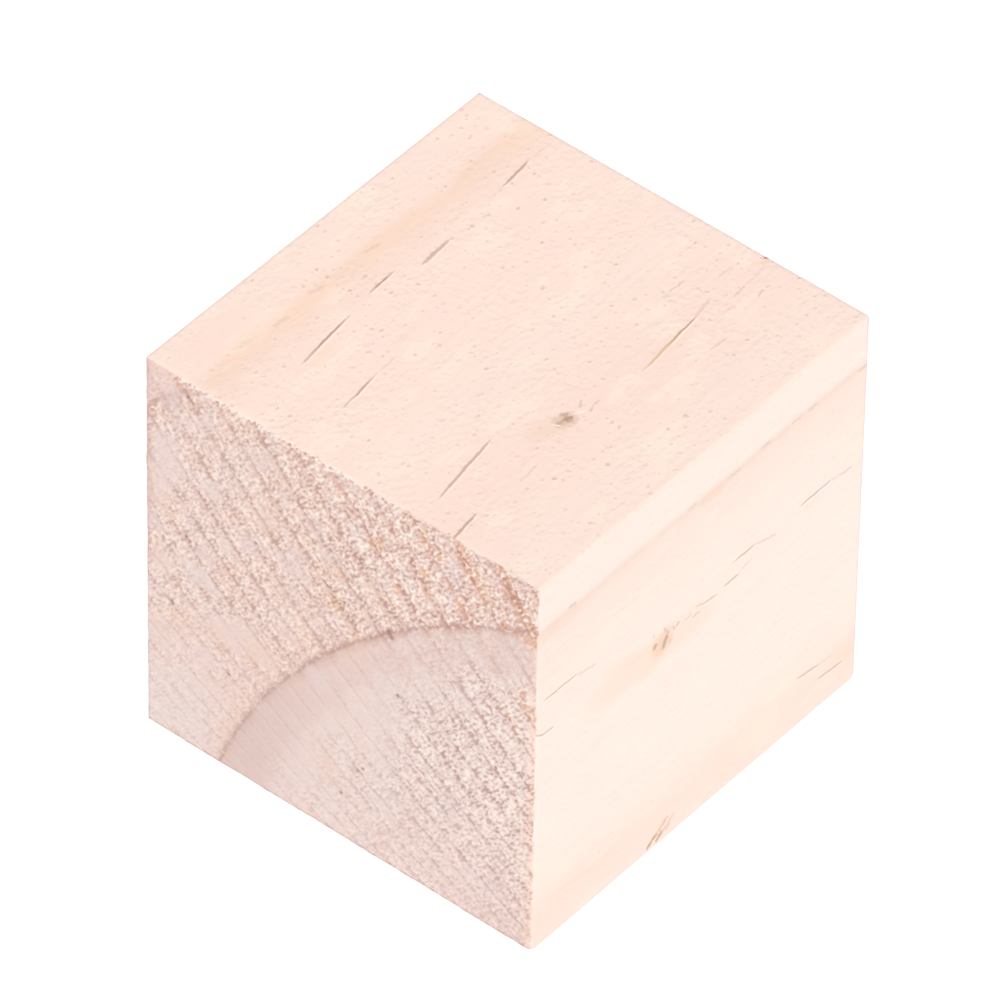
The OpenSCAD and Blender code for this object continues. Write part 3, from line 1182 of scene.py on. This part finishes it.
    def end_depth(self, points: np.ndarray, torn: np.ndarray) -> np.ndarray:
        """How deep the sawn face lies under its own plane, in millimetres."""
        x, y, z = points.T
        clumps = SoftNoise((0.6, 9.0, 0.6), 21)(points)
        specks = SoftNoise((0.3, 9.0, 0.3), 22)(points)
        fibre = 0.5 + 0.5 * np.clip(0.5 * clumps + 0.8 * specks, -1, 1)
        lines = (self.saw.across(x, z) - self.saw.deep_mark) / self.saw.feed_per_tooth
        lines = lines + 0.2 * SoftNoise((3.0, 9.0, 3.0), 23)(points)
        tooth = np.round(lines).astype(int)
        scratch = np.exp(-(((lines - tooth) / 0.2) ** 2))
        scratch = scratch * np.where(tooth % self.saw.teeth_per_turn == 0, 1.0, 0.35)
        scratch = scratch * (0.5 + 0.5 * SoftNoise((1.6, 9.0, 1.6), 24)(points))
        waves = 0.5 + 0.5 * np.sin(2 * math.pi * lines / self.saw.teeth_per_turn)
        lean = self.back_lean * z / self.size.height * (y > 0)
        relief = self.fibre_depth * torn * fibre + self.scratch_depth * scratch
        return relief + self.wave_depth * waves + lean

    @staticmethod
    def long_depth(points: np.ndarray) -> np.ndarray:
        """How deep a planed face lies under its own plane, in millimetres."""
        return 0.006 + 0.006 * SoftNoise((6.0, 14.0, 6.0), 41)(points)

    def knock_corners(self, points: np.ndarray) -> np.ndarray:
        """Crushes two low corners back to flat facets: the right back one and the right front one."""
        for along, knock in ((1, self.back_bruise), (-1, self.front_bruise)):
            outwards = np.array([1.0, along, -1.0]) / math.sqrt(3)
            corner = np.array([self.size.width / 2, along * self.size.length / 2, 0.0])
            proud = (points - corner) @ outwards + knock / math.sqrt(3)
            points = points - np.clip(proud, 0, None)[:, None] * outwards
        return points

    def face_of_polygons(self, mesh: bpy.types.Mesh) -> dict[Face, np.ndarray]:
        """Sorts the polygons by the face that they look out of."""
        normals = self.read(mesh.polygons, "normal", 3).reshape(-1, 3)
        axis = np.abs(normals).argmax(axis=1)
        positive = normals[np.arange(len(normals)), axis] > 0
        return {face: (axis == face.axis) & (positive == (face.sign > 0)) for face in Face}

    def dress(self, block: bpy.types.Object) -> None:
        """Gives each face its own finish."""
        wood = (self.size, self.rings)
        right = {"flecks": 0.3, "dent_shading": 0.08, "clouds": 0.25, "waver": 0.3, "lip": (-0.04, -0.11)}
        finishes = {
            Face.FRONT: SawnFinish(Face.FRONT, *wood, self.saw, STREAKS, DOTS, TAN_SPOTS),
            Face.BACK: SawnFinish(Face.BACK, *wood, self.saw, dots=BACK_DOTS),
            Face.TOP: PlanedFinish(Face.TOP, *wood, warmth=0.25, flecks=1.0),
            Face.BOTTOM: PlanedFinish(Face.BOTTOM, *wood, flecks=0.8),
            Face.RIGHT: PlanedFinish(Face.RIGHT, *wood, **right),
            Face.LEFT: PlanedFinish(Face.LEFT, *wood, flecks=0.6),
        }
        indices = np.zeros(len(block.data.polygons), np.int32)
        for number, (face, mine) in enumerate(self.face_of_polygons(block.data).items()):
            block.data.materials.append(finishes[face].material())
            indices[mine] = number
        block.data.polygons.foreach_set("material_index", indices)

    def lay_out_uv(self, block: bpy.types.Object) -> None:
        """Gives each face its own cell of a three by two sheet, so that baking keeps its detail."""
        mesh = block.data
        layer = mesh.uv_layers.new(name="OFBake")
        vertices = self.read(mesh.loops, "vertex_index").astype(int)
        totals = self.read(mesh.polygons, "loop_total").astype(int)
        corners = (self.read(mesh.vertices, "co", 3).reshape(-1, 3) / MM)[vertices]
        x, y, z = ((corners - self.size.middle) / (2 * self.size.halves) + 0.5).T
        cells = {
            Face.FRONT: (x, z, 0, 0),
            Face.BACK: (1 - x, z, 1, 0),
            Face.TOP: (y, 1 - x, 2, 0),
            Face.RIGHT: (y, z, 0, 1),
            Face.LEFT: (1 - y, z, 1, 1),
            Face.BOTTOM: (y, x, 2, 1),
        }
        uv = np.zeros((len(corners), 2))
        for face, polygons in self.face_of_polygons(mesh).items():
            mine = np.repeat(polygons, totals)
            across, up, column, row = cells[face]
            uv[mine, 0] = (column + self.uv_margin + (1 - 2 * self.uv_margin) * across[mine]) / 3
            uv[mine, 1] = (row + self.uv_margin + (1 - 2 * self.uv_margin) * up[mine]) / 2
        layer.data.foreach_set("uv", uv.ravel())
        mesh.update()


# ---------------------------------------------------------------- the studio


@dataclass(frozen=True)
class SoftSun:
    """A far, wide lamp: it lights every view and stands in none."""

    name: str
    towards: Triple
    strength: float
    spread_deg: float

    def add(self) -> None:
        """Adds the lamp."""
        data = bpy.data.lights.new(self.name, "SUN")
        data.energy = self.strength
        data.angle = math.radians(self.spread_deg)
        lamp = bpy.data.objects.new(self.name, data)
        direction = Vector(self.towards).normalized()
        lamp.rotation_euler = direction.to_track_quat("Z", "Y").to_euler()
        bpy.context.scene.collection.objects.link(lamp)


@dataclass(frozen=True)
class LongLens:
    """The camera: far off, with a long lens, so that the cube's edges stay nearly parallel."""

    azimuth_deg: float = 39.13
    elevation_deg: float = 44.024
    roll_deg: float = 1.0865
    distance: float = 791.29
    lens: float = 479.404
    look_at: Triple = (-0.749, 0.402, 15.81)
    nearest: float = 0.01
    farthest: float = 50.0

    def add(self) -> None:
        """Adds the camera and makes it the scene's own."""
        azimuth = math.radians(self.azimuth_deg)
        elevation = math.radians(self.elevation_deg)
        back = Vector(
            (
                math.sin(azimuth) * math.cos(elevation),
                -math.cos(azimuth) * math.cos(elevation),
                math.sin(elevation),
            )
        )
        right = Vector((0, 0, 1)).cross(back).normalized()
        up = back.cross(right)
        axes = Matrix((right, up, back)).transposed()
        axes = axes @ Matrix.Rotation(math.radians(self.roll_deg), 3, "Z")
        data = bpy.data.cameras.new("long_lens")
        data.lens = self.lens
        data.clip_start = self.nearest
        data.clip_end = self.farthest
        camera = bpy.data.objects.new("long_lens", data)
        place = (Vector(self.look_at) + back * self.distance) * MM
        camera.matrix_world = Matrix.Translation(place) @ axes.to_4x4()
        bpy.context.scene.collection.objects.link(camera)
        bpy.context.scene.camera = camera


@dataclass(frozen=True)
class Studio:
    """A pale floor under even white light, with a sky that looks whiter than it shines."""

    floor_half: float = 4.0
    floor_drop: float = 0.00001
    floor_colour: Colour = (0.4, 0.4, 0.4, 1.0)
    floor_glow: float = 0.7
    sky: float = 0.58
    seen_sky: float = 1.35
    suns: tuple[SoftSun, ...] = (
        SoftSun("key", (0.6, -0.42, 0.9), 2.15, 40.0),
        SoftSun("fill", (-0.5, 0.5, 0.6), 0.45, 60.0),
    )

    def build(self) -> None:
        """Adds the floor, the sky, the lamps and the camera."""
        self.add_floor()
        self.light_sky()
        for sun in self.suns:
            sun.add()
        LongLens().add()
        bpy.context.scene.view_settings.view_transform = "Standard"

    def add_floor(self) -> None:
        """Adds the floor, which the cube stands on."""
        bpy.ops.object.select_all(action="DESELECT")
        bpy.ops.mesh.primitive_plane_add(size=2 * self.floor_half, location=(0, 0, -self.floor_drop))
        floor = bpy.context.active_object
        floor.name = "floor"
        material = bpy.data.materials.new("pale_floor")
        material.use_nodes = True
        shader = material.node_tree.nodes["Principled BSDF"]
        shader.inputs["Base Color"].default_value = self.floor_colour
        shader.inputs["Roughness"].default_value = 0.9
        shader.inputs["Specular IOR Level"].default_value = 0.1
        shader.inputs["Emission Color"].default_value = (1.0, 1.0, 1.0, 1.0)
        shader.inputs["Emission Strength"].default_value = self.floor_glow
        floor.data.materials.append(material)

    def light_sky(self) -> None:
        """Makes the sky an even white, brighter where the camera looks straight at it."""
        world = bpy.data.worlds.new("white_sky")
        bpy.context.scene.world = world
        world.use_nodes = True
        sheet = Sheet(world.node_tree)
        seen = sheet.add("LightPath", {})
        glow = {"Strength": seen.mapped(0.0, 1.0, self.sky, self.seen_sky)}
        sheet.node("OutputWorld", {0: sheet.add("Background", glow)})


# ---------------------------------------------------------------- the whole


def main() -> None:
    """Builds the block and its studio, and ties the block to the CAD frame."""
    logging.basicConfig(level=logging.INFO, format="%(name)s: %(message)s")
    Studio().build()
    size = BlockSize.of_node("wooden_cube")
    block = PineBlock(size, GrowthRings(), SawCut()).build()
    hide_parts("wooden_cube")
    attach(block, "root")
    triangles = sum(len(face.vertices) - 2 for face in block.data.polygons)
    LOG.info("%s: %d vertices, %d triangles", block.name, len(block.data.vertices), triangles)


if __name__ == "__main__":
    main()
